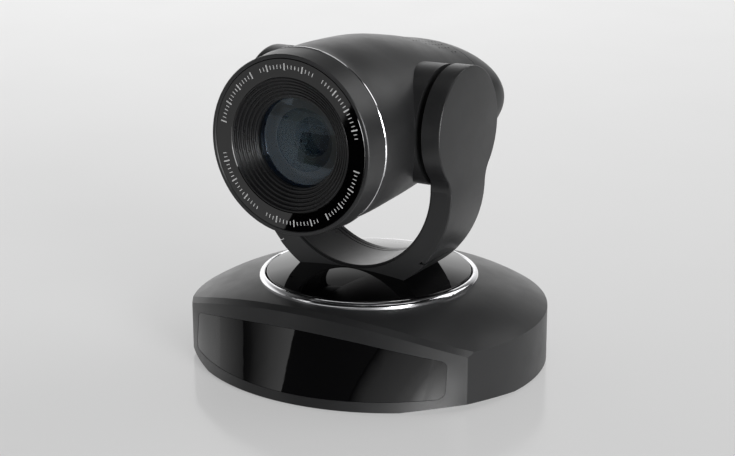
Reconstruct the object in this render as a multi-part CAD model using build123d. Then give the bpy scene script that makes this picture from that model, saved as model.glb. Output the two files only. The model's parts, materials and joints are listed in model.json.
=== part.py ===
from build123d import *
import math
import os

# A pan-tilt-zoom conference camera: a round desk base with a sloping glossy
# front window, a turntable with a U-shaped yoke, and a lens head that tilts
# between the yoke's ears.
# Frame: origin on the table under the pan axis, +Z up, lens looking along -Y.
# All lengths are in millimetres.

os.makedirs("parts", exist_ok=True)

# ---------------------------------------------------------------- dimensions
# Base
BASE_R = 70.0                 # round side wall
SKIRT_Z = 1.0                 # lower edge of the wall above the table
SIDE_TOP_Z = 22.2             # where the wall meets the dome
DOME_MID = (58.5, 28.2)       # a point on the dome's arc, radius and height
DOME_TOP = (43.0, 32.9)       # inner end of the dome's arc
WALL = 2.4
CORNER_DEG = 28.8             # front corners, ahead of the X axis
FRONT_SAG_LOW = 29.0          # bulge of the front at FRONT_LOW_Z
FRONT_LOW_Z = 1.0
FRONT_SAG_HIGH = 14.4         # bulge of the front at FRONT_HIGH_Z
FRONT_HIGH_Z = 31.0
FRONT_INSET = 4.6             # front wall, measured along Y
FRONT_BEVEL = 1.5
CORNER_LIFT = 1.3             # rise of the lower edge at each front corner
LIFT_HALF = 24.0              # half length of that rise

# Front window
WINDOW_X = 55.3
WINDOW_TOP = (19.0, 25.4)     # height at the ends and in the middle
WINDOW_LOW = (5.3, 4.1)
WINDOW_CORNER = 2.8
WINDOW_T = 1.8
WINDOW_GAP = 0.12

# Rear connector recess
RECESS_X = 26.0
RECESS_Z = (4.6, 19.4)
RECESS_Y = 62.0
PANEL_T = 2.0

# Turntable
WELL_R = 41.0
RING_OUT_R = 42.9
RING_IN_R = 40.6
RING_SEAT_Z = 30.8
RING_EDGE_Z = 33.8            # outer shoulder of the ring
RING_TOP_Z = 35.0
DISC_R = 40.1
DISC_LOW_Z = 31.5
CROWN_Z = 40.1                # middle of the disc's crown
CROWN_R = 170.0               # radius of the crown's sphere
FOOT_Z = 36.5                 # the yoke's foot, let into the disc

# Yoke
U_Z = 74.7                    # centre of the U's arcs
U_IN_R = 34.1
U_OUT_R = 43.5
YOKE_HALF = 13.7              # half depth along Y
EAR_R = 23.4
NECK_FILLET = 11.0
COVER_T = 1.8
COVER_LOW_Z = 45.5
LINER_T = 1.1
LINER_HALF = 12.7
LINER_TOP_Z = 82.0
ARM_SKIN = 2.4
EAR_IN_X = 35.9               # inner face of the ears
HUB_R = 11.0                  # collar round the shaft on that face

# Head
PIVOT_Z = 96.7
FACE = 55.9                   # lens face ahead of the pivot
SHELL_FRONT = 44.6
ACCENT_W = 0.9
BARREL_R = 33.8
SEAM_Y = 38.3                 # joint between head shell and rear cap
HEAD_SECTIONS = (             # y, half width, half height, squareness
    (-44.6, 33.6, 33.6, 2.0),
    (-33.0, 33.3, 33.5, 2.0),
    (-22.0, 33.0, 33.3, 2.0),
    (-11.0, 32.7, 32.7, 2.0),
    (0.0, 32.4, 31.5, 2.05),
    (11.0, 32.2, 29.5, 2.1),
    (22.0, 32.0, 27.2, 2.15),
    (33.0, 32.0, 24.8, 2.2),
    (42.0, 32.2, 22.9, 2.25),
    (50.0, 32.0, 19.6, 2.3),
    (55.5, 30.2, 15.4, 2.3),
    (59.0, 26.0, 10.2, 2.3),
    (61.0, 19.5, 5.6, 2.3),
)
SECTION_POINTS = 24
HEAD_WALL = 2.2
BOSS_R = 22.9
BOSS_X = 32.9
BOSS_WALL = 2.0

# Lens
PLATE_R = 31.6
GROOVE_R = 24.7
GLASS_R = 16.7
GLASS_H = 50.9                # rim of the front glass ahead of the pivot
BLOCK_R = 16.4                # lens block behind the front group
BLOCK_IN_R = 15.0
BLOCK_REAR = -10.0
ZOOM_H = 37.0                 # rear face of the zoom carrier, wide end
FOCUS_H = 5.0
ROD_R = 0.8
SCREW_R = 0.9
DRIVE_R = 12.4                # rods and lead screws from the optical axis

# Drives
PAN_MODULE = 0.8
PAN_TEETH = 72
PAN_PINION_TEETH = 15
PAN_GEAR_Z = (24.5, 28.5)
TILT_MODULE = 0.6
TILT_TEETH = 40
TILT_PINION_TEETH = 12
TILT_GEAR_X = (27.2, 29.8)
PRESSURE_DEG = 25.0
BACKLASH = 0.14
CENTRE_SLACK = 0.06
FIT = 0.05                    # radial running clearance
PAN_CENTRE = PAN_MODULE * (PAN_TEETH + PAN_PINION_TEETH) / 2 + CENTRE_SLACK
TILT_CENTRE = TILT_MODULE * (TILT_TEETH + TILT_PINION_TEETH) / 2 + CENTRE_SLACK

# Bearings and shafts
SPINDLE_R = 10.0
SPINDLE_BORE_R = 7.0
BEARING_R = 16.0
BEARING_Z = (15.5, 22.0)
CHASSIS_Z = (22.0, 23.6)
TILT_SHAFT_R = 5.0

PI = math.pi
HEAD_AXIS = Plane(origin=(0, 0, PIVOT_Z), x_dir=(1, 0, 0), z_dir=(0, -1, 0)).location


# ------------------------------------------------------------------- helpers
def save(shape, node):
    """Write one node, as a plain list of its solids."""
    solids = shape.solids()
    body = solids[0] if len(solids) == 1 else Compound(children=list(solids))
    export_step(body, f"parts/{node}.step")


def rod_z(radius, z0, z1, x=0.0, y=0.0):
    return Pos(x, y, (z0 + z1) / 2) * Cylinder(radius, z1 - z0)


def rod_x(radius, x0, x1, y=0.0, z=PIVOT_Z):
    return Pos((x0 + x1) / 2, y, z) * Rot(0, 90, 0) * Cylinder(radius, x1 - x0)


def ring_z(r_out, r_in, z0, z1, x=0.0, y=0.0):
    return rod_z(r_out, z0, z1, x, y) - rod_z(r_in, z0 - 1, z1 + 1, x, y)


def block(x0, x1, y0, y1, z0, z1):
    size = (x1 - x0, y1 - y0, z1 - z0)
    return Pos((x0 + x1) / 2, (y0 + y1) / 2, (z0 + z1) / 2) * Box(*size)


def turned(*outline):
    """A closed outline of (radius, height) turned about the Z axis."""
    return revolve(Plane.XZ * make_face(Polyline(*outline, close=True)), Axis.Z)


def on_lens_axis(shape):
    """Heights along Z become distances ahead of the pivot."""
    return HEAD_AXIS * shape


def group(shapes):
    return Compound(children=[s for shape in shapes for s in shape.solids()])


# --------------------------------------------------------------------- gears
def gear(module, teeth, thickness, bore):
    """A spur gear on Z with an involute flank, one tooth centred on +X."""
    pitch_r = module * teeth / 2
    base_r = pitch_r * math.cos(math.radians(PRESSURE_DEG))
    tip_r = pitch_r + 0.8 * module
    root_r = pitch_r - 1.05 * module
    half_pitch = PI / (2 * teeth) - BACKLASH / (2 * pitch_r)
    start_r = max(base_r, root_r)

    def involute(radius):
        angle = math.acos(min(1.0, base_r / radius))
        return math.tan(angle) - angle

    def flank_angle(radius):
        return half_pitch + involute(pitch_r) - involute(radius)

    radii = [start_r + (tip_r - start_r) * k / 3 for k in range(4)]
    points = []
    for tooth in range(teeth):
        middle = 2 * PI * tooth / teeth
        root_half = flank_angle(start_r) + 0.02 * module / root_r
        flank = [(root_r, root_half)] if start_r > root_r + 0.01 else []
        flank += [(r, flank_angle(r)) for r in radii]
        for r, a in flank:
            points.append((r * math.cos(middle - a), r * math.sin(middle - a)))
        for r, a in reversed(flank):
            points.append((r * math.cos(middle + a), r * math.sin(middle + a)))
    outline = make_face(Polyline(*points, close=True))
    blank = extrude(outline, thickness)
    return blank - rod_z(bore, -1, thickness + 1)


# ---------------------------------------------------------------------- base
def front_block(shift=0.0):
    """All that lies behind the base's sloping, bulging front."""
    corner_r = BASE_R + 0.05
    x = corner_r * math.cos(math.radians(CORNER_DEG))
    y = -corner_r * math.sin(math.radians(CORNER_DEG))
    slope = (FRONT_SAG_HIGH - FRONT_SAG_LOW) / (FRONT_HIGH_Z - FRONT_LOW_Z)
    faces = []
    for z in (-2.0, 40.0):
        sag = FRONT_SAG_LOW + slope * (z - FRONT_LOW_Z)
        front = ThreePointArc((-x, y), (0, y - sag), (x, y))
        sides = Polyline((x, y), (100, y), (100, 100), (-100, 100), (-100, y), (-x, y))
        faces.append(Pos(0, shift, z) * make_face([front, sides]))
    return loft(faces, ruled=True)


def dome_solid(radius, side_top, mid, top, low_z):
    """The round base: an upright wall and an arched dome, turned about Z."""
    wall = Polyline((0, low_z), (radius, low_z), (radius, side_top))
    arc = ThreePointArc((radius, side_top), mid, top)
    close = Polyline(top, (0, top[1]), (0, low_z))
    return revolve(Plane.XZ * make_face([wall, arc, close]), Axis.Z)


def window_outline(inset, corner):
    """The window's outline in the XZ plane, pushed along Y."""
    x = WINDOW_X - inset
    top = (WINDOW_TOP[0] - inset, WINDOW_TOP[1] - inset)
    low = (WINDOW_LOW[0] + inset, WINDOW_LOW[1] + inset)
    edges = [
        ThreePointArc((-x, low[0]), (0, low[1]), (x, low[0])),
        Line((x, low[0]), (x, top[0])),
        ThreePointArc((x, top[0]), (0, top[1]), (-x, top[0])),
        Line((-x, top[0]), (-x, low[0])),
    ]
    outline = make_face(edges)
    outline = fillet(outline.vertices(), corner)
    return extrude(Plane.XZ * outline, 40, both=True).moved(Pos(0, -60, 0))


BOLT_POINTS = ((41.0, -37.0), (-41.0, -37.0), (44.0, 40.0), (-44.0, 40.0))
FOOT_POINTS = ((47.0, -22.0), (-47.0, -22.0), (36.0, 44.0), (-36.0, 44.0))
LEG_POINTS = ((36.0, -30.0), (-36.0, -30.0), (36.0, 30.0), (-36.0, 30.0))
PLATE_Z = (1.5, 3.5)
INSERT_R = 4.8
INSERT_FLANGE_R = 8.0
INSERT_TOP_Z = 9.0
THREAD_R = 3.05               # 1/4-20 thread, a little under its major radius


def make_base():
    inner_r = BASE_R - WALL
    outer = dome_solid(BASE_R, SIDE_TOP_Z, DOME_MID, DOME_TOP, SKIRT_Z) & front_block()
    front_edges = [
        e for e in outer.edges()
        if e.center().Z > SIDE_TOP_Z + 1 and e.center().Y < -40
        and e.bounding_box().size.X > 60
    ]
    outer = chamfer(front_edges, FRONT_BEVEL)
    hollow = dome_solid(
        inner_r, SIDE_TOP_Z - 1.6, (DOME_MID[0] - 1.6, DOME_MID[1] - 2.3),
        (DOME_TOP[0], DOME_TOP[1] - 3.4), 0.0)
    hollow = hollow & front_block(FRONT_INSET)
    housing = outer - hollow
    posts = [rod_z(3.4, PLATE_Z[1], 28, x, y) for x, y in BOLT_POINTS]
    for post in posts:
        housing = housing + (post & outer)
    for x, y in BOLT_POINTS:
        housing = housing - rod_z(1.35, 0, 16, x, y)
    housing = housing - rod_z(WELL_R, 20, 60)
    housing = housing - rod_z(RING_OUT_R, RING_SEAT_Z, 60)
    pocket = window_outline(0.0, WINDOW_CORNER) - front_block(WINDOW_T)
    housing = housing - pocket
    sight = block(-30, 30, -80, -30, 8.5, 18.5)
    housing = housing - sight
    recess = block(-RECESS_X - 0.2, RECESS_X + 0.2, RECESS_Y, 90, *RECESS_Z)
    housing = housing - recess
    lift_r = (LIFT_HALF ** 2 + CORNER_LIFT ** 2) / (2 * CORNER_LIFT)
    for side in (-1, 1):
        turn = -CORNER_DEG if side > 0 else 180 + CORNER_DEG
        cutter = Pos(66, 0, SKIRT_Z + CORNER_LIFT - lift_r) * Rot(0, 90, 0) * Cylinder(lift_r, 20)
        housing = housing - Rot(0, 0, turn) * cutter
    window = window_outline(WINDOW_GAP, WINDOW_CORNER - WINDOW_GAP)
    window = (window & front_block(0.1)) - front_block(WINDOW_T)
    plate = rod_z(inner_r - 0.3, *PLATE_Z) & front_block(FRONT_INSET + 0.4)
    for x, y in BOLT_POINTS:
        plate = plate - rod_z(1.7, 0, 9, x, y) - rod_z(3.2, 0, PLATE_Z[0] + 0.9, x, y)
    for x, y in FOOT_POINTS:
        plate = plate - rod_z(6.0, 0, PLATE_Z[0] + 0.6, x, y)
    plate = plate + rod_z(8.5, PLATE_Z[1] - 0.2, 10.0)
    plate = plate - rod_z(INSERT_R, 0, INSERT_TOP_Z)
    for k in range(5):
        y = -30.0 + 3.2 * k
        plate = plate - block(-14, 14, y, y + 1.4, 0, 6)
    feet = []
    for x, y in FOOT_POINTS:
        foot = rod_z(5.9, 0, PLATE_Z[0] + 0.6, x, y)
        feet.append(chamfer(foot.edges().group_by(Axis.Z)[0], 0.4))
    insert = ring_z(INSERT_R, THREAD_R, 0.0, INSERT_TOP_Z)
    insert = insert + ring_z(INSERT_FLANGE_R, THREAD_R, 0.0, PLATE_Z[0])
    screws = []
    for x, y in BOLT_POINTS:
        head = rod_z(2.8, PLATE_Z[0] + 0.1, PLATE_Z[0] + 0.9, x, y)
        slot = block(x - 1.6, x + 1.6, y - 0.3, y + 0.3, 0, PLATE_Z[0] + 0.5)
        cross = block(x - 0.3, x + 0.3, y - 1.6, y + 1.6, 0, PLATE_Z[0] + 0.5)
        shank = rod_z(1.3, PLATE_Z[0] + 0.9, 12, x, y)
        screws.append(head + shank - slot - cross)
    save(housing, "base_housing")
    save(window, "front_window")
    save(plate, "bottom_plate")
    save(group(feet), "rubber_feet")
    save(insert, "tripod_insert")
    save(group(screws), "base_screws")


def make_rear_ports():
    y0 = RECESS_Y - PANEL_T
    panel = block(-RECESS_X, RECESS_X, y0, RECESS_Y, 3.7, 20.2)
    z = 12.0
    dc = block(-22.6, -13.4, y0 - 9, RECESS_Y + 0.4, z - 4.6, z + 4.6)
    usb = block(-9.6, 0.4, y0 - 9, RECESS_Y + 0.6, z - 5.0, z + 5.0)
    hdmi = block(5.4, 20.0, y0 - 9, RECESS_Y + 0.5, z - 3.0, z + 3.0)
    panel = panel - dc - usb - hdmi
    jack = dc - Pos(-18, RECESS_Y - 3, z) * Rot(90, 0, 0) * Cylinder(3.2, 12)
    jack = jack + Pos(-18, RECESS_Y - 4.5, z) * Rot(90, 0, 0) * Cylinder(1.0, 9.4)
    usb_in = block(-8.8, -0.4, RECESS_Y - 9, RECESS_Y + 2, z - 4.0, z + 4.0)
    tongue = block(-7.4, -1.8, RECESS_Y - 10, RECESS_Y - 1, z - 1.6, z + 1.6)
    usb = usb - usb_in + tongue
    hdmi_in = block(6.0, 19.4, RECESS_Y - 7, RECESS_Y + 2, z - 2.2, z + 2.2)
    blade = block(7.4, 18.0, RECESS_Y - 8, RECESS_Y - 1, z - 0.9, z + 0.9)
    hdmi = hdmi - hdmi_in + blade
    save(panel, "port_panel")
    save(jack, "power_jack")
    save(usb, "usb_port")
    save(hdmi, "hdmi_port")


def make_base_electronics():
    board = block(-31, 31, -12, 57, 5.2, 6.8)
    board = board - rod_z(9.4, 0, 12)
    chip = block(-8, 8, 20, 36, 6.8, 8.4)
    hub = block(14, 24, 22, 32, 6.8, 8.2)
    coils = [rod_z(3.2, 6.8, 10.2, x, 48.0) for x in (-24, 24)]
    save(board, "main_board")
    save(group([chip, hub] + coils), "board_chips")
    eye_y = -49.0
    ir_board = block(-17, 17, eye_y + 4.0, eye_y + 5.4, 7.5, 19.5)
    receiver = block(-3.2, 3.2, eye_y, eye_y + 4.0, 9.5, 16.5)
    receiver = receiver + Pos(0, eye_y, 13) * Sphere(2.4)
    leds = []
    for x in (-12.0, 12.0):
        body = Pos(x, eye_y + 2, 13) * Rot(90, 0, 0) * Cylinder(1.5, 4.0)
        leds.append(body + Pos(x, eye_y, 13) * Sphere(1.5))
    save(ir_board, "window_board")
    save(receiver, "ir_receiver")
    save(group(leds), "status_leds")


def make_pan_drive():
    chassis = rod_z(46.0, *CHASSIS_Z) & block(-60, 60, -38, 60, 0, 60)
    chassis = chassis + rod_z(BEARING_R + 2.6, BEARING_Z[0] - 1.2, CHASSIS_Z[0] + 0.2)
    for x, y in LEG_POINTS:
        chassis = chassis + rod_z(3.2, PLATE_Z[1], CHASSIS_Z[0] + 0.2, x, y)
    chassis = chassis - rod_z(BEARING_R, BEARING_Z[0], 40)
    chassis = chassis - rod_z(BEARING_R - 2.2, 0, 40)
    chassis = chassis - rod_z(5.0, 0, 40, 0, PAN_CENTRE)
    outer = ring_z(BEARING_R, 14.2, *BEARING_Z)
    inner = ring_z(11.8, SPINDLE_R, *BEARING_Z)
    mid = sum(BEARING_Z) / 2
    groove = Pos(0, 0, mid) * Torus(13.0, 1.95)
    outer = outer - groove
    inner = inner - groove
    balls = [Rot(0, 0, 30 * k) * Pos(13.0, 0, mid) * Sphere(1.85) for k in range(12)]
    motor = rod_z(14.0, 10.0, CHASSIS_Z[0], 0, PAN_CENTRE)
    motor = fillet(motor.edges().group_by(Axis.Z)[0], 1.0)
    for side in (-1, 1):
        motor = motor + rod_z(3.4, CHASSIS_Z[0] - 1.0, CHASSIS_Z[0], 17.5 * side, PAN_CENTRE)
        motor = motor + block(min(0, 17.5 * side), max(0, 17.5 * side), PAN_CENTRE - 3.4,
                              PAN_CENTRE + 3.4, CHASSIS_Z[0] - 1.0, CHASSIS_Z[0])
    motor = motor - rod_z(2.05, 11.0, 40, 0, PAN_CENTRE)
    thick = PAN_GEAR_Z[1] - PAN_GEAR_Z[0]
    wheel = Rot(0, 0, 90) * gear(PAN_MODULE, PAN_TEETH, thick, SPINDLE_R)
    wheel = Pos(0, 0, PAN_GEAR_Z[0]) * wheel
    half_gap = 180.0 / PAN_PINION_TEETH
    pinion = Rot(0, 0, -90 + half_gap) * gear(PAN_MODULE, PAN_PINION_TEETH, thick, 2.0)
    pinion = Pos(0, PAN_CENTRE, PAN_GEAR_Z[0]) * pinion
    pinion = pinion + rod_z(2.0, 11.5, PAN_GEAR_Z[1], 0, PAN_CENTRE)
    spindle = rod_z(SPINDLE_R, 13.0, 31.0) - rod_z(SPINDLE_BORE_R, 0, 60)
    spindle = spindle - ring_z(SPINDLE_R + 1, SPINDLE_R - 0.7, 13.7, 14.7)
    clip = ring_z(SPINDLE_R + 1.9, SPINDLE_R - 0.7, 13.7, 14.7)
    clip = clip - block(0, 30, -2, 2, 0, 30)
    save(chassis, "pan_chassis")
    save(outer, "pan_bearing_outer_race")
    save(inner, "pan_bearing_inner_race")
    save(group(balls), "pan_bearing_balls")
    save(motor, "pan_motor")
    save(wheel, "pan_gear")
    save(pinion, "pan_pinion")
    save(spindle, "pan_spindle")
    save(clip, "spindle_clip")


# --------------------------------------------------------- turntable and yoke
def make_turntable():
    crown = Pos(0, 0, CROWN_Z - CROWN_R) * Sphere(CROWN_R)
    disc = rod_z(DISC_R, DISC_LOW_Z, CROWN_Z + 1) & crown
    rim = [e for e in disc.edges() if e.center().Z > DISC_LOW_Z + 1 and e.length > DISC_R]
    disc = fillet(rim, 0.6)
    foot = u_solid(U_IN_R, U_OUT_R, YOKE_HALF, U_Z + 0.5)
    foot = foot & block(-60, 60, -60, 60, FOOT_Z, U_Z)
    disc = disc - foot
    disc = disc + rod_z(24.0, PAN_GEAR_Z[1], DISC_LOW_Z + 0.5)
    disc = disc - rod_z(SPINDLE_R, 0, 31.0)
    disc = disc - rod_z(SPINDLE_BORE_R, 0, 60)
    ring_walls = Polyline(
        (RING_IN_R, RING_TOP_Z - 0.3), (RING_IN_R, RING_SEAT_Z),
        (RING_OUT_R, RING_SEAT_Z), (RING_OUT_R, RING_EDGE_Z))
    ring_top = ThreePointArc(
        (RING_OUT_R, RING_EDGE_Z), (RING_OUT_R - 0.6, RING_TOP_Z - 0.35),
        (RING_IN_R + 0.3, RING_TOP_Z))
    ring_lip = Line((RING_IN_R + 0.3, RING_TOP_Z), (RING_IN_R, RING_TOP_Z - 0.3))
    ring = revolve(Plane.XZ * make_face([ring_walls, ring_top, ring_lip]), Axis.Z)
    save(disc, "turntable_disc")
    save(ring, "trim_ring")


def u_profile(r_in, r_out, top_z):
    """The U seen from the front: two concentric arcs and upright arms."""
    edges = [
        Line((r_out, top_z), (r_out, U_Z)),
        ThreePointArc((r_out, U_Z), (0, U_Z - r_out), (-r_out, U_Z)),
        Line((-r_out, U_Z), (-r_out, top_z)),
        Line((-r_out, top_z), (-r_in, top_z)),
        Line((-r_in, top_z), (-r_in, U_Z)),
        ThreePointArc((-r_in, U_Z), (0, U_Z - r_in), (r_in, U_Z)),
        Line((r_in, U_Z), (r_in, top_z)),
        Line((r_in, top_z), (r_out, top_z)),
    ]
    return Plane.XZ * make_face(edges)


def u_solid(r_in, r_out, half, top_z):
    return extrude(u_profile(r_in, r_out, top_z), half, both=True)


def ear_prism(inset, x0, x1):
    """Ear disc and neck in side view, joined by hollow curves, along X."""
    disc = Pos(0, PIVOT_Z) * Circle(EAR_R)
    neck = Pos(0, (U_Z - 12 + PIVOT_Z) / 2) * Rectangle(2 * YOKE_HALF, PIVOT_Z - U_Z + 12)
    outline = disc + neck
    inner_corners = [
        v for v in outline.vertices()
        if abs(abs(v.X) - YOKE_HALF) < 0.1 and v.Y > U_Z - 5 and v.Y < PIVOT_Z
    ]
    outline = fillet(inner_corners, NECK_FILLET)
    if inset:
        outline = offset(outline, -inset)
    solid = extrude(Plane.YZ * outline, x1 - x0)
    return Pos(x0, 0, 0) * solid


def yoke_body(r_in, r_out, inset):
    """The whole yoke with its walls moved in by inset."""
    lower = u_solid(r_in, r_out, YOKE_HALF - inset, U_Z + 0.5)
    lower = lower & block(-60, 60, -60, 60, FOOT_Z, U_Z)
    right = ear_prism(inset, r_in, r_out) & block(-60, 60, -60, 60, U_Z, 200)
    left = mirror(right, Plane.YZ)
    return lower + right + left


def make_yoke():
    whole = yoke_body(U_IN_R, U_OUT_R, 0.0)
    core = yoke_body(U_IN_R, U_OUT_R - COVER_T, 0.0)
    above = block(-60, 60, -60, 60, COVER_LOW_Z, 200)
    skin = (whole - core) & above
    channel = yoke_body(U_IN_R + ARM_SKIN + 0.8, U_OUT_R - COVER_T, ARM_SKIN) & above
    liner_zone = u_solid(U_IN_R - 0.5, U_IN_R + LINER_T, 30, LINER_TOP_Z)
    liner_zone = liner_zone & block(-60, 60, -60, 60, 39, 200)
    liner = u_solid(U_IN_R, U_IN_R + LINER_T, LINER_HALF, LINER_TOP_Z)
    for y in (8.4, 10.4):
        step = u_solid(U_IN_R - 1, U_IN_R + 0.45, 0.3, LINER_TOP_Z + 1)
        liner = liner - Pos(0, y, 0) * step
    shaft_hole = rod_x(TILT_SHAFT_R, -60, 60)
    frame = whole - skin - channel - liner_zone - shaft_hole
    for side in (-1, 1):
        x0, x1 = sorted((side * (U_IN_R - 1), side * EAR_IN_X))
        frame = frame - (rod_x(EAR_R + 0.8, x0, x1) - rod_x(HUB_R, -60, 60))
    frame = frame - rod_z(SPINDLE_BORE_R, 30, 39.4)
    right = skin & block(0, 60, -60, 60, 0, 200)
    left = skin & block(-60, 0, -60, 60, 0, 200)
    save(frame, "yoke_frame")
    save(right, "yoke_cover_right")
    save(left, "yoke_cover_left")
    save(liner, "yoke_liner")


def make_tilt_drive():
    inner_x = U_IN_R + ARM_SKIN + 0.8
    right = rod_x(TILT_SHAFT_R, 26.6, inner_x) + rod_x(9.0, inner_x, inner_x + 2.0)
    left = rod_x(TILT_SHAFT_R, -inner_x, -28.6) + rod_x(9.0, -inner_x - 2.0, -inner_x)
    wire = rod_x(2.6, -60, 60)
    left = left - wire
    bushes = []
    for side in (-1, 1):
        a, b = sorted((side * (BOSS_X - BOSS_WALL - 0.8), side * BOSS_X))
        c, d = sorted((side * BOSS_X, side * (BOSS_X + 0.7)))
        bush = rod_x(7.5, a, b) + rod_x(9.5, c, d) - rod_x(TILT_SHAFT_R + FIT, -60, 60)
        bushes.append(bush)
    thick = TILT_GEAR_X[1] - TILT_GEAR_X[0]
    wheel = gear(TILT_MODULE, TILT_TEETH, thick, TILT_SHAFT_R)
    half_gap = 180.0 / TILT_PINION_TEETH
    small = Rot(0, 0, 180 + half_gap) * gear(TILT_MODULE, TILT_PINION_TEETH, thick, 1.0)
    side_on = Plane(origin=(TILT_GEAR_X[0], 0, PIVOT_Z), x_dir=(0, 1, 0), z_dir=(1, 0, 0))
    wheel = side_on.location * wheel
    small = side_on.location * (Pos(TILT_CENTRE, 0, 0) * small)
    small = small + rod_x(1.0, 19.0, TILT_GEAR_X[1], TILT_CENTRE)
    motor = rod_x(11.0, 17.6, 26.0, TILT_CENTRE) - rod_x(1.0 + FIT, 18.6, 60, TILT_CENTRE)
    save(right, "tilt_shaft_right")
    save(left, "tilt_shaft_left")
    save(group(bushes), "tilt_bushes")
    save(wheel, "tilt_gear")
    save(small, "tilt_pinion")
    save(motor, "tilt_motor")


# ---------------------------------------------------------------------- head
def head_section(y, half_w, half_h, power):
    """One rounded section of the head, as a smooth closed curve."""
    points = []
    for k in range(SECTION_POINTS):
        angle = 2 * PI * (k + 0.5) / SECTION_POINTS
        c, s = math.cos(angle), math.sin(angle)
        inverse = (abs(c) / half_w) ** power + (abs(s) / half_h) ** power
        radius = inverse ** (-1 / power)
        points.append((radius * c, y, radius * s))
    return make_face(Spline(*points, periodic=True))


def head_solid():
    """The head's outer shape, centred on the tilt pivot."""
    return loft([head_section(*section) for section in HEAD_SECTIONS])


def slimmer(shape, wall, back):
    """The head's shape thinned by a wall and moved towards the lens."""
    factor = 1 - wall / BARREL_R
    return Pos(0, -back, 0) * scale(shape, (factor, 1, factor))


def make_head():
    form = head_solid()
    lift = Pos(0, 0, PIVOT_Z)
    outer = lift * form
    inner = lift * slimmer(form, HEAD_WALL, HEAD_WALL)
    boss = rod_x(BOSS_R, -BOSS_X, BOSS_X)
    boss_hollow = rod_x(BOSS_R - 2.0, -BOSS_X + BOSS_WALL, BOSS_X - BOSS_WALL)
    shell = outer + boss - inner - boss_hollow
    shell = shell & block(-60, 60, -SHELL_FRONT, SEAM_Y, 0, 200)
    shell = shell - rod_x(7.5, -60, 60)
    cap = outer - inner
    cap = cap & block(-60, 60, SEAM_Y + 0.25, 90, 0, 200)
    lip = lift * (slimmer(form, HEAD_WALL + 0.3, 2.5) - slimmer(form, HEAD_WALL + 1.5, 2.5))
    lip = lip & block(-60, 60, SEAM_Y - 3.0, SEAM_Y + 2.2, 0, 200)
    root = lift * (slimmer(form, HEAD_WALL - 0.6, 2.5) - slimmer(form, HEAD_WALL + 1.5, 2.5))
    root = root & block(-60, 60, SEAM_Y + 0.3, SEAM_Y + 2.2, 0, 200)
    cap = cap + root + lip
    holes = []
    for column in range(9):
        for row in range(6):
            if row > 0 and column < (row - 1) * 2 - 1:
                continue
            x = 4.0 + 3.0 * row
            y = 34.6 - 2.5 * (8 - column)
            for side in (-1, 1):
                holes.append(rod_z(0.45, PIVOT_Z + 10, PIVOT_Z + 60, side * x, y))
    shell = shell - holes
    save(shell, "head_shell")
    save(cap, "rear_cap")


def make_front():
    sleeve = SHELL_FRONT - 2.5
    bezel = turned(
        (33.9, SHELL_FRONT + ACCENT_W), (33.2, FACE - 0.3), (32.95, FACE),
        (PLATE_R + 0.3, FACE), (PLATE_R + 0.1, FACE - 0.3), (PLATE_R + 0.1, FACE - 2.0),
        (28.5, FACE - 2.0), (28.5, sleeve), (31.0, sleeve), (31.0, SHELL_FRONT),
        (32.3, SHELL_FRONT + 0.1), (32.3, SHELL_FRONT + ACCENT_W))
    accent = turned(
        (32.35, SHELL_FRONT + 0.02), (33.95, SHELL_FRONT + 0.02), (34.1, SHELL_FRONT + 0.25),
        (34.1, SHELL_FRONT + ACCENT_W - 0.2), (33.95, SHELL_FRONT + ACCENT_W - 0.02),
        (32.35, SHELL_FRONT + ACCENT_W - 0.02))
    plate = turned(
        (GROOVE_R, FACE - 1.9), (PLATE_R, FACE - 1.9), (PLATE_R, FACE - 0.4),
        (PLATE_R - 0.2, FACE - 0.2), (GROOVE_R + 0.2, FACE - 0.2), (GROOVE_R, FACE - 0.4))
    steps = 6
    run = (GROOVE_R - 0.1 - GLASS_R) / steps
    drop = (FACE - 0.3 - GLASS_H) / steps
    outline = [(GLASS_R, GLASS_H - 2.0), (GROOVE_R - 0.1, GLASS_H - 2.0)]
    for k in range(steps):
        r = GROOVE_R - 0.1 - k * run
        h = FACE - 0.3 - k * drop
        outline += [(r, h), (r - 0.45 * run, h), (r - 0.6 * run, h - 1.25 * drop)]
        outline += [(r - 0.98 * run, h - 1.25 * drop)]
    outline.append((GLASS_R, GLASS_H - 0.6))
    hood = turned(*outline)
    save(on_lens_axis(bezel), "front_bezel")
    save(on_lens_axis(accent), "accent_ring")
    save(on_lens_axis(plate), "lens_plate")
    save(on_lens_axis(hood), "lens_hood")


def lens(radius, h_rear, h_front, bulge_front, bulge_rear):
    """A round lens: two arcs turned about Z; a bulge is positive outwards."""
    def crown(h, bulge):
        return ThreePointArc((0, h + bulge), (radius * 0.5, h + bulge * 0.75), (radius, h))
    front = crown(h_front, bulge_front)
    rear = crown(h_rear, -bulge_rear)
    rim = Line((radius, h_front), (radius, h_rear))
    axis = Line((0, h_rear - bulge_rear), (0, h_front + bulge_front))
    return revolve(Plane.XZ * make_face([front, rim, rear, axis]), Axis.Z)


def around_axis(radius, degrees):
    angle = math.radians(degrees)
    return radius * math.cos(angle), radius * math.sin(angle)


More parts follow.
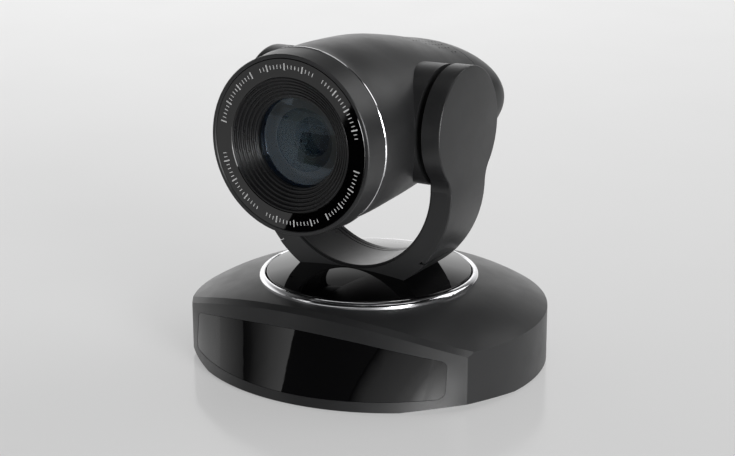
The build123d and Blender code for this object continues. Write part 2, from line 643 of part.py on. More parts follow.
def make_lens_block():
    seat_h = GLASS_H - 7.3
    barrel = turned(
        (GLASS_R + 0.1, GLASS_H - 2.2), (28.3, GLASS_H - 2.2), (28.3, GLASS_H - 4.2),
        (19.4, GLASS_H - 4.2), (19.4, 40.0), (BLOCK_R, 37.0), (BLOCK_R, BLOCK_REAR),
        (BLOCK_IN_R, BLOCK_REAR), (BLOCK_IN_R, seat_h), (GLASS_R + 0.1, seat_h))
    front_glass = lens(GLASS_R, GLASS_H - 5.1, GLASS_H - 1.6, 2.2, -1.6)
    inner_glass = lens(14.9, seat_h + 0.1, seat_h + 1.6, 0.3, -1.2)
    stop_ring = ring_z(GLASS_R, 11.9, seat_h + 1.76, seat_h + 2.15)
    zoom = ring_z(14.6, 7.5, ZOOM_H, ZOOM_H + 3.6)
    focus = ring_z(14.6, 7.0, FOCUS_H, FOCUS_H + 3.6)
    iris = ring_z(BLOCK_IN_R, 4.4, 17.5, 19.0)
    relay = lens(8.0, 13.0, 16.0, 1.2, 0.6)
    relay_mount = ring_z(BLOCK_IN_R, 8.0, 13.2, 15.8)
    rods = []
    for degrees in (60, 240):
        x, y = around_axis(DRIVE_R, degrees)
        rods.append(rod_z(ROD_R, -4.0, 42.0, x, y))
        hole = rod_z(ROD_R + FIT, -60, 60, x, y)
        seat = rod_z(ROD_R, -60, 60, x, y)
        zoom = zoom - hole
        focus = focus - hole
        iris = iris - seat
        relay_mount = relay_mount - seat
    screws = {}
    motors = {}
    for name, degrees, top in (("zoom", 150, 41.8), ("focus", 330, 12.6)):
        x, y = around_axis(DRIVE_R, degrees)
        screws[name] = rod_z(SCREW_R, -1.5, top, x, y)
        motors[name] = ring_z(2.45, SCREW_R + FIT, -8.0, 0.5, x, y) + rod_z(2.45, -8.0, -2.0, x, y)
        hole = rod_z(SCREW_R + FIT, -60, 60, x, y)
        wide = rod_z(SCREW_R + 0.5, -60, 60, x, y)
        zoom = zoom - (hole if name == "zoom" else wide)
        focus = focus - (hole if name == "focus" else wide)
        iris = iris - wide
        relay_mount = relay_mount - wide
    zoom_glass = lens(7.5, ZOOM_H + 0.5, ZOOM_H + 3.0, -0.8, -0.9)
    focus_glass = lens(7.0, FOCUS_H + 0.4, FOCUS_H + 3.2, 0.9, 0.5)
    sensor_board = block(-14, 14, -14, 14, -12.0, -10.4)
    sensor = block(-5.0, 5.0, -4.2, 4.2, -10.4, -9.0)
    barrel = barrel + ring_z(BLOCK_IN_R + 0.5, 6.8, BLOCK_REAR, BLOCK_REAR + 1.8)
    items = {
        "lens_barrel": barrel, "front_glass": front_glass, "inner_glass": inner_glass,
        "glass_retainer": stop_ring, "zoom_carrier": zoom, "zoom_glass": zoom_glass,
        "focus_carrier": focus, "focus_glass": focus_glass, "iris_plate": iris,
        "relay_glass": relay, "relay_mount": relay_mount, "guide_rods": group(rods),
        "zoom_screw": screws["zoom"], "focus_screw": screws["focus"],
        "lens_motors": group([motors["zoom"], motors["focus"]]),
        "sensor_board": sensor_board, "image_sensor": sensor,
    }
    for node, shape in items.items():
        save(on_lens_axis(shape), node)


make_base()
make_rear_ports()
make_base_electronics()
make_pan_drive()
make_turntable()
make_yoke()
make_tilt_drive()
make_head()
make_front()
make_lens_block()
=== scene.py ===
import bpy
import bmesh
import json
import math
from mathutils import Matrix, Vector

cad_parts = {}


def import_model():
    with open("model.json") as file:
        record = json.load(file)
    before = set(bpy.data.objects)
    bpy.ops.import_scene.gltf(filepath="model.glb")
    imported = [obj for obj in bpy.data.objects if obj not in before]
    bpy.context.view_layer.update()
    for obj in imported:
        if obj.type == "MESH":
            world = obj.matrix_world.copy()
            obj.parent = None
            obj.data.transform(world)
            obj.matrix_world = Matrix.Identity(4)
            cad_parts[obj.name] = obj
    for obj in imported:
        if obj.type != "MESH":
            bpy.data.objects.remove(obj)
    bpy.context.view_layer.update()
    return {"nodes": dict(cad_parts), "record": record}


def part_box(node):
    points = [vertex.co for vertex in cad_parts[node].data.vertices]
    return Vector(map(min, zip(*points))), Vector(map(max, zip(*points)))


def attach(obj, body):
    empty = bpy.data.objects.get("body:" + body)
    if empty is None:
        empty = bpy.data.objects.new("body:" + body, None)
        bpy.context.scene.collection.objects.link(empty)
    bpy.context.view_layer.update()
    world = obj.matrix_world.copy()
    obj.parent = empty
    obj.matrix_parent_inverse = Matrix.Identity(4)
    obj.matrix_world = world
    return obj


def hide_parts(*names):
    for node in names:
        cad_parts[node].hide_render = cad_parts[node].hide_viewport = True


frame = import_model()
BEHAVIOUR = frame["record"]["behaviour"]
NODES = frame["nodes"]
BODY_OF = {node: body for body, nodes in BEHAVIOUR["bodies"].items() for node in nodes}
SLOT_OF = {part["node"]: part["material_slot"] for part in frame["record"]["subparts"]}
TILT = next(joint for joint in BEHAVIOUR["joints"] if joint["name"] == "tilt")
MM = 0.001
PI = math.pi
PIVOT_Z = TILT["pos_m"][2]


# ------------------------------------------------------------ node shorthand
class Shader:
    """A small helper that builds one procedural material."""

    # Bent and plain normals agree this much on a sharp edge and on an open face.
    SHARP_DOT = 0.75
    FLAT_DOT = 0.99

    def __init__(self, name):
        self.material = bpy.data.materials.new(name)
        self.material.use_nodes = True
        self.tree = self.material.node_tree
        self.tree.nodes.clear()
        self.out = self.add("ShaderNodeOutputMaterial")
        self.bsdf = self.add("ShaderNodeBsdfPrincipled")
        self.link(self.bsdf.outputs[0], self.out.inputs[0])
        self.coords = self.add("ShaderNodeTexCoord")

    def add(self, kind, **values):
        node = self.tree.nodes.new(kind)
        for key, value in values.items():
            setattr(node, key, value)
        return node

    def link(self, a, b):
        self.tree.links.new(a, b)

    def set(self, **values):
        for key, value in values.items():
            self.bsdf.inputs[key.replace("_", " ")].default_value = value

    def noise(self, scale, detail=3.0, roughness=0.55, stretch=None):
        node = self.add("ShaderNodeTexNoise")
        node.inputs["Scale"].default_value = scale
        node.inputs["Detail"].default_value = detail
        node.inputs["Roughness"].default_value = roughness
        source = self.coords.outputs["Object"]
        if stretch:
            mapping = self.add("ShaderNodeMapping")
            mapping.inputs["Scale"].default_value = stretch
            self.link(source, mapping.inputs["Vector"])
            source = mapping.outputs[0]
        self.link(source, node.inputs["Vector"])
        return node.outputs["Fac"]

    def spread(self, source, low, high, start=0.3, stop=0.7):
        """Maps a pattern's start..stop to low..high."""
        node = self.add("ShaderNodeMapRange")
        node.inputs["From Min"].default_value = start
        node.inputs["From Max"].default_value = stop
        node.inputs["To Min"].default_value = low
        node.inputs["To Max"].default_value = high
        self.link(source, node.inputs["Value"])
        return node.outputs[0]

    def times(self, source, factor):
        node = self.add("ShaderNodeMath", operation="MULTIPLY")
        self.link(source, node.inputs[0])
        node.inputs[1].default_value = factor
        return node.outputs[0]

    def colours(self, factor, dark, light):
        node = self.add("ShaderNodeMix", data_type="RGBA")
        self.link(factor, node.inputs["Factor"])
        node.inputs["A"].default_value = (*dark, 1)
        node.inputs["B"].default_value = (*light, 1)
        return node.outputs["Result"]

    def edges(self, radius):
        """About 1 on convex edges and 0 on open faces."""
        bevel = self.add("ShaderNodeBevel", samples=4)
        bevel.inputs["Radius"].default_value = radius
        plain = self.add("ShaderNodeNewGeometry")
        dot = self.add("ShaderNodeVectorMath", operation="DOT_PRODUCT")
        self.link(bevel.outputs[0], dot.inputs[0])
        self.link(plain.outputs["Normal"], dot.inputs[1])
        return self.spread(dot.outputs["Value"], 1.0, 0.0, self.SHARP_DOT, self.FLAT_DOT)

    def bump(self, height, distance, strength=1.0):
        node = self.add("ShaderNodeBump")
        node.inputs["Strength"].default_value = strength
        node.inputs["Distance"].default_value = distance
        self.link(height, node.inputs["Height"])
        self.link(node.outputs[0], self.bsdf.inputs["Normal"])


def scaled(colour, factor):
    return [channel * factor for channel in colour]


# ----------------------------------------------------------------- materials
EDGE_RADIUS = 0.3 * MM
EDGE_WEAR = 0.35
EDGE_LIGHTER = 2.6


def grained_plastic(name, base, rough, grain=0.018 * MM, scale=2600.0):
    """Moulded plastic with a fine spark-eroded grain and rubbed edges."""
    s = Shader(name)
    worn = s.edges(EDGE_RADIUS)
    cloud = s.noise(scale=38.0, detail=4.0)
    tint = s.colours(s.spread(cloud, 0, 1), base, scaled(base, 1.22))
    mix = s.add("ShaderNodeMix", data_type="RGBA")
    s.link(s.times(worn, EDGE_WEAR), mix.inputs["Factor"])
    s.link(tint, mix.inputs["A"])
    mix.inputs["B"].default_value = (*scaled(base, EDGE_LIGHTER), 1)
    s.link(mix.outputs["Result"], s.bsdf.inputs["Base Color"])
    rub = s.noise(scale=90.0, detail=5.0, roughness=0.6)
    s.link(s.spread(rub, rough - 0.035, rough + 0.045), s.bsdf.inputs["Roughness"])
    s.bump(s.noise(scale, detail=2.0, roughness=0.5), grain)
    s.set(Specular_IOR_Level=0.5)
    return s.material


def gloss_plastic(name, base, rough=0.03, shine=0.5):
    """Polished plastic with faint wipe marks."""
    s = Shader(name)
    cloud = s.spread(s.noise(scale=25.0), 0, 1)
    s.link(s.colours(cloud, base, scaled(base, 1.3)), s.bsdf.inputs["Base Color"])
    wipes = s.noise(scale=70.0, detail=5.0, roughness=0.65, stretch=(1.0, 7.0, 2.0))
    s.link(s.spread(wipes, rough, rough + 0.035, start=0.45, stop=0.8),
           s.bsdf.inputs["Roughness"])
    s.bump(s.noise(scale=24.0, detail=1.0), 0.02 * MM, strength=0.35)
    s.set(Specular_IOR_Level=shine)
    return s.material


def metal(name, base, rough, streak=(1.0, 1.0, 1.0), scale=160.0):
    """Bare or plated metal whose grain can run one way."""
    s = Shader(name)
    grain = s.noise(scale, detail=5.0, roughness=0.6, stretch=streak)
    s.link(s.colours(s.spread(grain, 0, 1), scaled(base, 0.86), base),
           s.bsdf.inputs["Base Color"])
    s.link(s.spread(grain, rough * 0.7, rough * 1.4), s.bsdf.inputs["Roughness"])
    s.bump(grain, 0.01 * MM, strength=0.3)
    s.set(Metallic=1.0)
    return s.material


def rubber(name, base):
    """Matt rubber with an uneven surface."""
    s = Shader(name)
    s.link(s.colours(s.noise(scale=60.0, detail=5.0), base, scaled(base, 1.8)),
           s.bsdf.inputs["Base Color"])
    s.link(s.spread(s.noise(scale=180.0), 0.62, 0.86), s.bsdf.inputs["Roughness"])
    s.bump(s.noise(scale=1400.0, detail=3.0), 0.04 * MM)
    return s.material


def circuit_board(name, base):
    """Solder resist over a pattern of tracks."""
    s = Shader(name)
    bricks = s.add("ShaderNodeTexBrick")
    bricks.inputs["Scale"].default_value = 320.0
    bricks.inputs["Mortar Size"].default_value = 0.035
    bricks.inputs["Color1"].default_value = (*base, 1)
    bricks.inputs["Color2"].default_value = (*scaled(base, 0.8), 1)
    bricks.inputs["Mortar"].default_value = (*scaled(base, 1.9), 1)
    s.link(s.coords.outputs["Object"], bricks.inputs["Vector"])
    s.link(bricks.outputs["Color"], s.bsdf.inputs["Base Color"])
    s.link(s.spread(s.noise(scale=300.0), 0.22, 0.4), s.bsdf.inputs["Roughness"])
    s.bump(bricks.outputs["Fac"], 0.03 * MM, strength=0.5)
    return s.material


def coated_glass(name, tint, alpha, sheen):
    """Coated optical glass: nearly clear, with a coloured reflection."""
    s = Shader(name)
    facing = s.add("ShaderNodeLayerWeight")
    facing.inputs["Blend"].default_value = 0.4
    edge_alpha = min(1.0, alpha + 0.5)
    s.link(s.spread(facing.outputs["Facing"], alpha, edge_alpha, start=0.0, stop=1.0),
           s.bsdf.inputs["Alpha"])
    s.link(s.colours(s.noise(scale=30.0), tint, scaled(tint, 1.2)), s.bsdf.inputs["Base Color"])
    s.set(Roughness=0.015, IOR=1.6, Specular_IOR_Level=1.0, Specular_Tint=(*sheen, 1),
          Coat_Weight=1.0, Coat_Roughness=0.01, Coat_Tint=(*sheen, 1))
    return s.material


def painted_glow_plastic(name, base, rough, glow):
    """Dark lens-interior parts with a painted glow (emission) standing in for light scattered in the
    glass.
    """
    material = grained_plastic(name, base, rough, grain=0.001 * MM, scale=1500.0)
    bsdf = next(n for n in material.node_tree.nodes if n.type == "BSDF_PRINCIPLED")
    # Painted glow: this faint emission fakes light scattered into the lens; these parts are no lamps.
    bsdf.inputs["Emission Color"].default_value = (0.9, 0.95, 0.9, 1)
    bsdf.inputs["Emission Strength"].default_value = glow
    return material


MATERIALS = {
    "shell_black": grained_plastic("shell_black", (0.016, 0.0162, 0.0168), rough=0.36),
    "base_black": grained_plastic("base_black", (0.011, 0.011, 0.0115),
                                  rough=0.32, grain=0.02 * MM, scale=2200.0),
    "liner_black": grained_plastic("liner_black", (0.006, 0.006, 0.0065), rough=0.3, grain=0.01 * MM),
    "hood_black": grained_plastic("hood_black", (0.005, 0.005, 0.0055),
                                  rough=0.28, grain=0.008 * MM, scale=3000.0),
    "gloss_black": gloss_plastic("gloss_black", (0.0008, 0.0008, 0.001)),
    "plate_black": gloss_plastic("plate_black", (0.0006, 0.0006, 0.0007), rough=0.02, shine=0.8),
    "port_black": gloss_plastic("port_black", (0.008, 0.008, 0.008), rough=0.2),
    "bright_chrome": metal("bright_chrome", (0.9, 0.9, 0.92), rough=0.09),
    "rubber": rubber("rubber", (0.012, 0.012, 0.012)),
    "steel": metal("steel", (0.56, 0.57, 0.58), rough=0.28),
    "port_metal": metal("port_metal", (0.62, 0.62, 0.64), rough=0.22),
    "zinc": metal("zinc", (0.5, 0.52, 0.55), rough=0.36, scale=90.0),
    "brass": metal("brass", (0.72, 0.53, 0.24), rough=0.26),
    "aluminium": metal("aluminium", (0.74, 0.74, 0.75), rough=0.3, streak=(1.0, 1.0, 14.0)),
    "nylon": grained_plastic("nylon", (0.62, 0.6, 0.54), rough=0.42, grain=0.02 * MM, scale=1200.0),
    "circuit_board": circuit_board("circuit_board", (0.01, 0.1, 0.045)),
    "chip_black": grained_plastic("chip_black", (0.016, 0.016, 0.018),
                                  rough=0.55, grain=0.03 * MM, scale=2000.0),
    "lens_tint": gloss_plastic("lens_tint", (0.02, 0.004, 0.008), rough=0.05),
    "led_lens": gloss_plastic("led_lens", (0.6, 0.65, 0.7), rough=0.12),
    "optical_glass": coated_glass("optical_glass", (0.003, 0.006, 0.014),
                                  alpha=0.16, sheen=(0.55, 0.8, 1.0)),
    "inner_glass": coated_glass("inner_glass", (0.004, 0.008, 0.007),
                                alpha=0.10, sheen=(0.6, 0.95, 0.85)),
    "print_grey": grained_plastic("print_grey", (0.42, 0.42, 0.42),
                                  rough=0.5, grain=0.004 * MM, scale=5000.0),
    # ring_edge, zoom_ring and iris_black carry a painted glow in place of light scattered into the
    # lens.
    "ring_edge": painted_glow_plastic("ring_edge", (0.05, 0.055, 0.05), rough=0.4, glow=0.012),
    "zoom_ring": painted_glow_plastic("zoom_ring", (0.03, 0.034, 0.03), rough=0.4, glow=0.016),
    "iris_black": painted_glow_plastic("iris_black", (0.03, 0.03, 0.03), rough=0.5, glow=0.022),
    # Painted reflection: the violet base colour and higher opacity paint the coating's violet
    # reflection into the glass; the coat tint gives the real coloured reflection.
    "violet_reflection_glass": coated_glass("violet_reflection_glass", (0.10, 0.08, 0.32), alpha=0.55, sheen=(0.6, 0.6, 1.0)),
}

# These nodes look different from the other parts of their slot.
SPECIAL = {
    "lens_plate": "plate_black", "glass_retainer": "ring_edge", "zoom_carrier": "zoom_ring",
    "iris_plate": "iris_black", "relay_glass": "violet_reflection_glass", "zoom_glass": "optical_glass",
}
for node, obj in NODES.items():
    obj.data.materials.clear()
    obj.data.materials.append(MATERIALS[SPECIAL.get(node, SLOT_OF[node])])


# ------------------------------------------------------------- mesh building
def mesh_object(name, verts, faces):
    mesh = bpy.data.meshes.new(name)
    mesh.from_pydata(verts, [], faces)
    obj = bpy.data.objects.new(name, mesh)
    bpy.context.scene.collection.objects.link(obj)
    return obj


def add_piece(name, verts, faces, slot, body, smooth=True, material=None):
    """One visual piece that rides a body; its look is the slot's unless named."""
    obj = mesh_object(name, verts, faces)
    work = bmesh.new()
    work.from_mesh(obj.data)
    bmesh.ops.recalc_face_normals(work, faces=work.faces)
    work.to_mesh(obj.data)
    work.free()
    for polygon in obj.data.polygons:
        polygon.use_smooth = smooth
    obj.data.materials.append(MATERIALS[material or slot])
    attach(obj, body)
    return obj


def rounded(outline, radius):
    """A closed outline with each corner turned into a small arc."""
    steps = 4
    longest = 0.45
    result = []
    count = len(outline)
    for i, corner in enumerate(outline):
        corner = Vector(corner)
        before = Vector(outline[i - 1]) - corner
        after = Vector(outline[(i + 1) % count]) - corner
        reach = min(radius, before.length * longest, after.length * longest)
        start = corner + before.normalized() * reach
        end = corner + after.normalized() * reach
        for k in range(steps + 1):
            t = k / steps
            point = start * (1 - t) ** 2 + corner * 2 * t * (1 - t) + end * t ** 2
            result.append(tuple(point))
    return result


def lathe(outline):
    """A closed (radius, distance ahead of the pivot) outline turned on the lens axis."""
    segments = 160
    count = len(outline)
    verts = []
    for k in range(segments):
        angle = 2 * PI * k / segments
        c, s = math.cos(angle), math.sin(angle)
        verts += [(r * c, -h, PIVOT_Z + r * s) for r, h in outline]
    faces = []
    for k in range(segments):
        a, b = k * count, (k + 1) % segments * count
        for i in range(count):
            j = (i + 1) % count
            faces.append((a + i, a + j, b + j, b + i))
    return verts, faces


# ----------------------------------------------------------------- lens hood
HOOD_RIDGES = 6
HOOD_DEPTH = 4.6 * MM
HOOD_CORNER = 0.22 * MM
HOOD_LIP = 0.2 * MM
# Each ridge's crest, groove wall and groove floor, as parts of the ridge's width.
CREST_END = 0.46
GROOVE_START = 0.60
GROOVE_END = 0.94
GROOVE_FALL = 1.35


def lens_hood():
    """Rounded ridges stepping down from the lens plate to the glass."""
    low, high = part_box("lens_hood")
    outer = high.x
    front = -low.y
    rear = -high.y
    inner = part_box("front_glass")[1].x
    rim = front - HOOD_DEPTH
    run = (outer - inner) / HOOD_RIDGES
    drop = (front - rim) / HOOD_RIDGES
    steps = []
    for k in range(HOOD_RIDGES):
        r = outer - k * run
        h = front - k * drop
        groove = h - GROOVE_FALL * drop
        steps += [(r, h), (r - CREST_END * run, h), (r - GROOVE_START * run, groove),
                  (r - GROOVE_END * run, groove)]
    lip = steps[-1][1] - HOOD_LIP
    outline = [(inner, rear), (outer, rear)] + steps + [(inner, lip)]
    verts, faces = lathe(rounded(outline, HOOD_CORNER))
    piece = add_piece("hood_ridges", verts, faces, "hood_black", "head")
    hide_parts("lens_hood")


# ---------------------------------------------------------------- front lens
def meniscus(name, node, front_bulge, rear_bulge, material):
    """A round glass with a crowned front and a curved rear."""
    rings = 24
    least_radius = 0.01 * MM
    low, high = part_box(node)
    radius = high.x
    front = -low.y - front_bulge
    rear = -high.y
    radii = [radius * k / rings for k in range(rings + 1)]
    outline = [(max(r, least_radius), front + front_bulge * (1 - (r / radius) ** 2))
               for r in radii]
    outline += [(max(r, least_radius), rear + rear_bulge * (1 - (r / radius) ** 2))
                for r in reversed(radii)]
    verts, faces = lathe(outline)
    piece = add_piece(name, verts, faces, "optical_glass", "head", material=material)
    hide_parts(node)


# ---------------------------------------------------------------- dial ticks
TICK_RADIUS = 28.6 * MM
TICK_SPACING = 3                        # degrees
FIRST_TICK = -78                        # degrees clockwise from straight up
TICKS_IN_ARC = 53
TICK_GAPS = (16, 17, 34, 35)
LONG_EVERY = 5
LONG_TICK = (1.25 * MM, 0.24 * MM)      # half the length, half the width
SHORT_TICK = (0.7 * MM, 0.14 * MM)
PRINT_SUNK = 0.02 * MM
PRINT_RAISED = 0.03 * MM


def dial_ticks():
    """Two arcs of plain tick marks printed on the lens plate."""
    face = -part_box("lens_plate")[0].y
    verts, faces = [], []
    for turn in (0, 180):
        for k in range(TICKS_IN_ARC):
            if k in TICK_GAPS:
                continue
            angle = math.radians(90 - (FIRST_TICK + TICK_SPACING * k) - turn)
            half_long, half_wide = SHORT_TICK if k % LONG_EVERY else LONG_TICK
            inner, outer = TICK_RADIUS - half_long, TICK_RADIUS + half_long
            c, s = math.cos(angle), math.sin(angle)
            a = len(verts)
            for h in (face - PRINT_SUNK, face + PRINT_RAISED):
                for r, w in ((inner, -half_wide), (outer, -half_wide),
                             (outer, half_wide), (inner, half_wide)):
                    verts.append((r * c - w * s, -h, PIVOT_Z + r * s + w * c))
            faces += [(a, a + 1, a + 2, a + 3), (a + 4, a + 5, a + 6, a + 7)]
            for i in range(4):
                j = (i + 1) % 4
                faces.append((a + i, a + j, a + 4 + j, a + 4 + i))
    add_piece("dial_ticks", verts, faces, "nylon", "head", smooth=False, material="print_grey")


# --------------------------------------------------------------- yoke covers
U_CENTRE_Z = PIVOT_Z - 22.0 * MM
NECK_HALF = 13.7 * MM
NECK_BLEND = 11.0 * MM
COVER_DEPTH = 1.8 * MM
COVER_BEVEL = 0.55 * MM
COVER_CREASE = math.radians(50)
NECK_STEPS = 24
BLEND_STEPS = 12
EAR_STEPS = 60
BEVEL_STEPS = 4


def cover_half_outline(ear_r, low_z, outer):
    """Half of a cover's edge, from its foot to its top, as (y, path) points.

    Path is the height above the U's centre, or the length round the U below it.
    """
    foot = -outer * math.asin((U_CENTRE_Z - low_z) / outer)
    rise = PIVOT_Z - U_CENTRE_Z
    centre_y = NECK_HALF + NECK_BLEND
    drop = math.sqrt((ear_r + NECK_BLEND) ** 2 - centre_y ** 2)
    blend_s = rise - drop
    points = [(NECK_HALF, foot + (blend_s - foot) * k / NECK_STEPS) for k in range(NECK_STEPS)]
    meet = math.atan2(drop, -centre_y)
    for k in range(BLEND_STEPS + 1):
        angle = PI + (meet - PI) * k / BLEND_STEPS
        points.append((centre_y + NECK_BLEND * math.cos(angle),
                       blend_s + NECK_BLEND * math.sin(angle)))
    start = math.atan2(-drop, centre_y)
    for k in range(1, EAR_STEPS + 1):
        angle = start + (PI / 2 - start) * k / EAR_STEPS
        points.append((ear_r * math.cos(angle), rise + ear_r * math.sin(angle)))
    return points


def inset_outline(points, amount):
    """Moves a half outline inwards, keeping its ends on their lines."""
    result = []
    last = len(points) - 1
    for i, (y, s) in enumerate(points):
        before = Vector(points[max(0, i - 1)])
        after = Vector(points[min(last, i + 1)])
        along = (after - before).normalized()
        inward = Vector((-along.y, along.x))
        if i == last:
            inward = Vector((0, -1))
        if i == 0:
            inward = Vector((-1, 1))
        result.append((max(0.0, y + inward.x * amount), s + inward.y * amount))
    return result


def yoke_cover(side):
    """A yoke arm's outer skin: flat over the ear, following the U below."""
    node = "yoke_cover_right" if side > 0 else "yoke_cover_left"
    low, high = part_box(node)
    outer = max(abs(low.x), abs(high.x))
    half = cover_half_outline(high.y, low.z, outer)

    def place(y, s, out):
        radius = outer + out
        if s >= 0:
            return (side * radius, y, U_CENTRE_Z + s)
        angle = s / outer
        return (side * radius * math.cos(angle), y, U_CENTRE_Z + radius * math.sin(angle))

    layers = [(0.0, -COVER_DEPTH), (0.0, -COVER_BEVEL)]
    for k in range(1, BEVEL_STEPS + 1):
        turn = k * PI / 2 / BEVEL_STEPS
        layers.append((COVER_BEVEL * (1 - math.cos(turn)), -COVER_BEVEL * (1 - math.sin(turn))))
    verts, loops = [], []
    for inset, out in layers:
        line = inset_outline(half, inset) if inset else half
        full = [(-y, s) for y, s in line[:-1]] + [line[-1]] + list(reversed(line[:-1]))
        loops.append(range(len(verts), len(verts) + len(full)))
        verts += [place(y, s, out) for y, s in full]
    faces = []
    for a, b in zip(loops, loops[1:]):
        for i in range(len(a)):
            j = (i + 1) % len(a)
            faces.append((a[i], a[j], b[j], b[i]))
    # The back and the front are closed by rungs across the outline.
    rungs = len(half) - 1
    for loop in (loops[0], loops[-1]):
        for i in range(rungs - 1):
            faces.append((loop[i], loop[i + 1], loop[-2 - i], loop[-1 - i]))
        faces.append((loop[rungs - 1], loop[rungs], loop[rungs + 1]))
    name = "arm_cover_right" if side > 0 else "arm_cover_left"
    piece = add_piece(name, verts, faces, SLOT_OF[node], BODY_OF[node])
    piece.data.set_sharp_from_angle(angle=COVER_CREASE)
    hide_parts(node)


lens_hood()
meniscus("front_dome", "front_glass", 2.2 * MM, 1.6 * MM, "optical_glass")
meniscus("second_dome", "inner_glass", 0.3 * MM, 1.2 * MM, "inner_glass")
dial_ticks()
for side in (1, -1):
    yoke_cover(side)


# --------------------------------------------------------------------- stage
FLOOR_HALF = 6.0
DARK_CARD_Z = 0.001
CARD_RADIUS = 1.4
CAMERA_PLACE = (0.33514, -0.56840, 0.24936)
CAMERA_YAW = 0.5335
CAMERA_PITCH = 0.2910
CAMERA_ROLL = -0.0047
CAMERA_LENS = 86.61
SENSOR_WIDTH = 36.0
# The studio's brightness at each height, as (sine of the elevation, brightness).
SKY_BANDS = ((0.0, 1.25), (0.3, 1.3), (0.55, 0.28), (0.8, 0.08))
SKY_SIDE = (-0.8, 0.6, 0.0)
SKY_FADE = (0.3, 0.9)
SKY_LEVELS = (0.05, 1.0)


def studio_floor():
    """A pale satin floor."""
    half = FLOOR_HALF
    corners = [(-half, -half, 0), (half, -half, 0), (half, half, 0), (-half, half, 0)]
    obj = mesh_object("studio_floor", corners, [(0, 1, 2, 3)])
    s = Shader("studio_floor")
    cloud = s.noise(scale=3.0, detail=3.0)
    s.link(s.colours(cloud, (0.43, 0.43, 0.43), (0.45, 0.45, 0.45)),
           s.bsdf.inputs["Base Color"])
    s.link(s.spread(s.noise(scale=14.0), 0.12, 0.17), s.bsdf.inputs["Roughness"])
    s.set(Emission_Color=(1, 1, 1, 1), Emission_Strength=0.35, Specular_IOR_Level=0.2)
    obj.data.materials.append(s.material)


def world():
    """Bright low down behind on the left, dark overhead and in front."""
    scene_world = bpy.data.worlds.new("studio")
    bpy.context.scene.world = scene_world
    scene_world.use_nodes = True
    tree = scene_world.node_tree
    tree.nodes.clear()
    out = tree.nodes.new("ShaderNodeOutputWorld")
    back = tree.nodes.new("ShaderNodeBackground")
    coords = tree.nodes.new("ShaderNodeTexCoord")
    split = tree.nodes.new("ShaderNodeSeparateXYZ")
    ramp = tree.nodes.new("ShaderNodeValToRGB")
    tree.links.new(coords.outputs["Generated"], split.inputs[0])
    bands = ramp.color_ramp.elements
    bands[0].position = SKY_BANDS[0][0]
    bands[1].position = SKY_BANDS[-1][0]
    for height, _ in SKY_BANDS[1:-1]:
        bands.new(height)
    for band, (_, level) in zip(bands, SKY_BANDS):
        band.color = (level, level, level, 1)
    tree.links.new(split.outputs["Z"], ramp.inputs[0])
    toward = tree.nodes.new("ShaderNodeVectorMath")
    toward.operation = "DOT_PRODUCT"
    toward.inputs[1].default_value = SKY_SIDE
    tree.links.new(coords.outputs["Generated"], toward.inputs[0])
    fade = tree.nodes.new("ShaderNodeMapRange")
    fade.inputs["From Min"].default_value = SKY_FADE[0]
    fade.inputs["From Max"].default_value = SKY_FADE[1]
    fade.inputs["To Min"].default_value = SKY_LEVELS[0]
    fade.inputs["To Max"].default_value = SKY_LEVELS[1]
    tree.links.new(toward.outputs["Value"], fade.inputs["Value"])
    mix = tree.nodes.new("ShaderNodeMath")
    mix.operation = "MULTIPLY"
    tree.links.new(ramp.outputs[0], mix.inputs[0])
    tree.links.new(fade.outputs[0], mix.inputs[1])
    tree.links.new(mix.outputs[0], back.inputs["Color"])
    tree.links.new(back.outputs[0], out.inputs[0])


def soft_light(name, place, target, size, power):
    data = bpy.data.lights.new(name, "AREA")
    data.shape = "RECTANGLE"
    data.size = size
    data.size_y = size
    data.energy = power
    obj = bpy.data.objects.new(name, data)
    bpy.context.scene.collection.objects.link(obj)
    obj.location = place
    aim = Vector(target) - Vector(place)
    obj.rotation_euler = aim.to_track_quat("-Z", "Y").to_euler()
    obj.visible_camera = False


def light_card(name, azimuths, heights, levels, power):
    """A curved glowing card round the pan axis, with a level at each column."""
    columns = len(levels) - 1
    verts, shades = [], []
    for i, level in enumerate(levels):
        azimuth = math.radians(azimuths[0] + (azimuths[1] - azimuths[0]) * i / columns)
        for z in heights:
            verts.append((CARD_RADIUS * math.sin(azimuth), -CARD_RADIUS * math.cos(azimuth), z))
            shades.append(level)
    faces = [(2 * i, 2 * i + 2, 2 * i + 3, 2 * i + 1) for i in range(columns)]
    obj = mesh_object(name, verts, faces)
    layer = obj.data.color_attributes.new("level", "FLOAT_COLOR", "POINT")
    for i, level in enumerate(shades):
        layer.data[i].color = (level, level, level, 1)
    material = bpy.data.materials.new(name)
    material.use_nodes = True
    tree = material.node_tree
    tree.nodes.clear()
    attribute = tree.nodes.new("ShaderNodeAttribute")
    attribute.attribute_name = "level"
    glow = tree.nodes.new("ShaderNodeEmission")
    glow.inputs["Strength"].default_value = power
    out = tree.nodes.new("ShaderNodeOutputMaterial")
    tree.links.new(attribute.outputs["Color"], glow.inputs["Color"])
    tree.links.new(glow.outputs[0], out.inputs[0])
    obj.data.materials.append(material)
    obj.visible_camera = False
    obj.visible_shadow = False


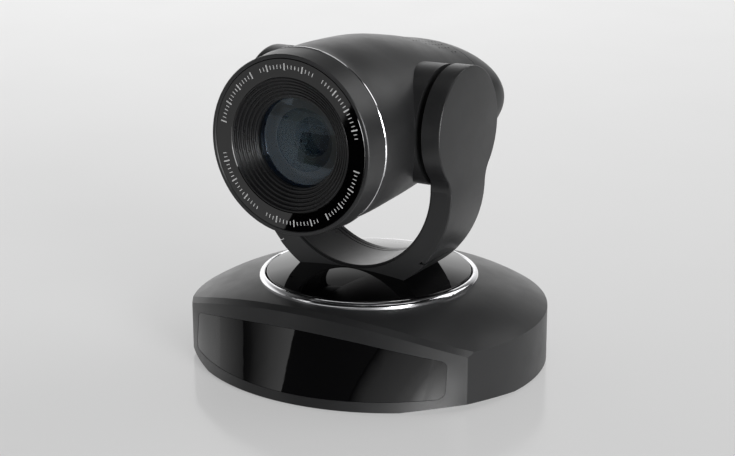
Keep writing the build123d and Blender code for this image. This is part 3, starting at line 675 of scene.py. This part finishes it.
def dark_card(name, corners):
    """A black card lying on the floor, seen only in reflections."""
    obj = mesh_object(name, [(x, y, DARK_CARD_Z) for x, y in corners], [(0, 1, 2, 3)])
    s = Shader(name)
    s.link(s.colours(s.noise(scale=20.0), (0.001, 0.001, 0.001), (0.002, 0.002, 0.002)),
           s.bsdf.inputs["Base Color"])
    s.set(Roughness=0.9, Specular_IOR_Level=0.0)
    obj.data.materials.append(s.material)
    obj.visible_camera = False
    obj.visible_diffuse = False
    obj.visible_shadow = False
    obj.visible_transmission = False


def camera():
    """The camera looks slightly down from the front right."""
    level = math.cos(CAMERA_PITCH)
    back = Vector((math.sin(CAMERA_YAW) * level, -math.cos(CAMERA_YAW) * level,
                   math.sin(CAMERA_PITCH)))
    right = Vector((math.cos(CAMERA_YAW), math.sin(CAMERA_YAW), 0))
    up = back.cross(right)
    c, s = math.cos(CAMERA_ROLL), math.sin(CAMERA_ROLL)
    right, up = right * c + up * s, up * c - right * s
    data = bpy.data.cameras.new("camera")
    data.sensor_width = SENSOR_WIDTH
    data.sensor_fit = "HORIZONTAL"
    data.lens = CAMERA_LENS
    obj = bpy.data.objects.new("camera", data)
    bpy.context.scene.collection.objects.link(obj)
    axes = Matrix((right, up, back)).transposed().to_4x4()
    obj.matrix_world = Matrix.Translation(CAMERA_PLACE) @ axes
    bpy.context.scene.camera = obj
    bpy.context.scene.view_settings.view_transform = "Standard"


studio_floor()
world()
light_card("card_right", azimuths=(4, 66), heights=(-0.02, 0.58), power=8.0,
           levels=(0.0, 0.05, 0.07, 0.09, 0.15, 0.45, 1.0, 1.0, 0.9))
light_card("card_left", azimuths=(-35, -62), heights=(0.28, 0.95), power=1.05,
           levels=(1.0, 0.7, 0.35, 0.08, 0.0))
soft_light("back_right", place=(0.75, 1.0, 0.95), target=(0, 0, 0.09), size=0.9, power=4.0)
soft_light("key_right", place=(1.15, -0.55, 0.35), target=(0, 0, 0.09), size=0.5, power=8.0)
soft_light("overhead", place=(0.1, 0.1, 1.6), target=(0, 0, 0), size=1.2, power=3.0)
dark_card("dark_card_front", ((-0.42, -0.90), (-0.112, -0.215), (0.02, -0.215), (0.0, -0.90)))
camera()
